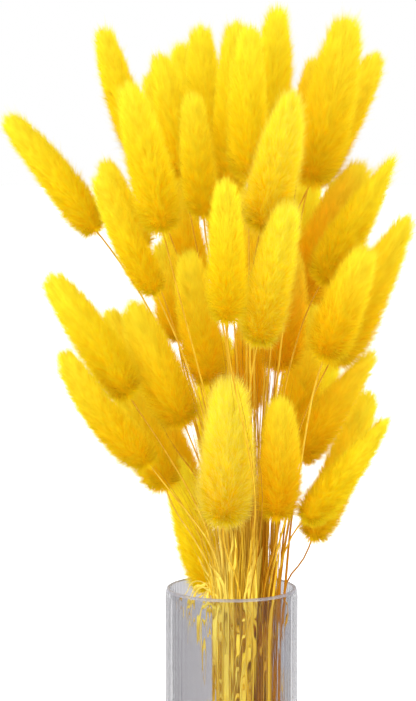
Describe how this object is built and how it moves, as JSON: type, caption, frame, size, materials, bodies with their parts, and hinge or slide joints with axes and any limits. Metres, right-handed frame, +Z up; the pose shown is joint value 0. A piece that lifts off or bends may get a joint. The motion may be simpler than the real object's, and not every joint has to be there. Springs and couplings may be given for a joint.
{
  "type": "bunch of dried bunny tail grass in a vase",
  "caption": "Dried bunny tail grass, dyed yellow: furry oval heads on slender stems, gathered in a tall ribbed glass cylinder vase.",
  "frame": {"origin": "middle of the vase's flat underside, which stands on the table", "axes": "+Z up along the vase's axis; the bunch is seen from the front looking along +Y, with +X to the right"},
  "size_m": [0.18, 0.1565, 0.4218],
  "materials": {
    "glass": "polished",
    "dyed_grass": "matte"
  },
  "bodies": {
    "root": {"vase": "glass", "tail_01": "dyed_grass", "tail_02": "dyed_grass", "tail_03": "dyed_grass", "tail_04": "dyed_grass", "tail_05": "dyed_grass", "tail_06": "dyed_grass", "tail_07": "dyed_grass", "tail_08": "dyed_grass", "tail_09": "dyed_grass", "tail_10": "dyed_grass", "tail_11": "dyed_grass", "tail_12": "dyed_grass", "tail_13": "dyed_grass", "tail_14": "dyed_grass", "tail_15": "dyed_grass", "tail_16": "dyed_grass", "tail_17": "dyed_grass", "tail_18": "dyed_grass", "tail_19": "dyed_grass", "tail_20": "dyed_grass", "tail_21": "dyed_grass", "tail_22": "dyed_grass", "tail_23": "dyed_grass", "tail_24": "dyed_grass", "tail_25": "dyed_grass", "tail_26": "dyed_grass", "tail_27": "dyed_grass", "tail_28": "dyed_grass", "tail_29": "dyed_grass", "tail_30": "dyed_grass", "tail_31": "dyed_grass", "tail_32": "dyed_grass", "tail_33": "dyed_grass", "tail_34": "dyed_grass", "tail_35": "dyed_grass", "tail_36": "dyed_grass", "tail_37": "dyed_grass", "tail_38": "dyed_grass", "tail_39": "dyed_grass", "tail_40": "dyed_grass", "tail_41": "dyed_grass", "tail_42": "dyed_grass", "tail_43": "dyed_grass", "tail_44": "dyed_grass", "tail_45": "dyed_grass", "tail_46": "dyed_grass", "tail_47": "dyed_grass", "tail_48": "dyed_grass", "tail_49": "dyed_grass"}
  },
  "joints": []
}
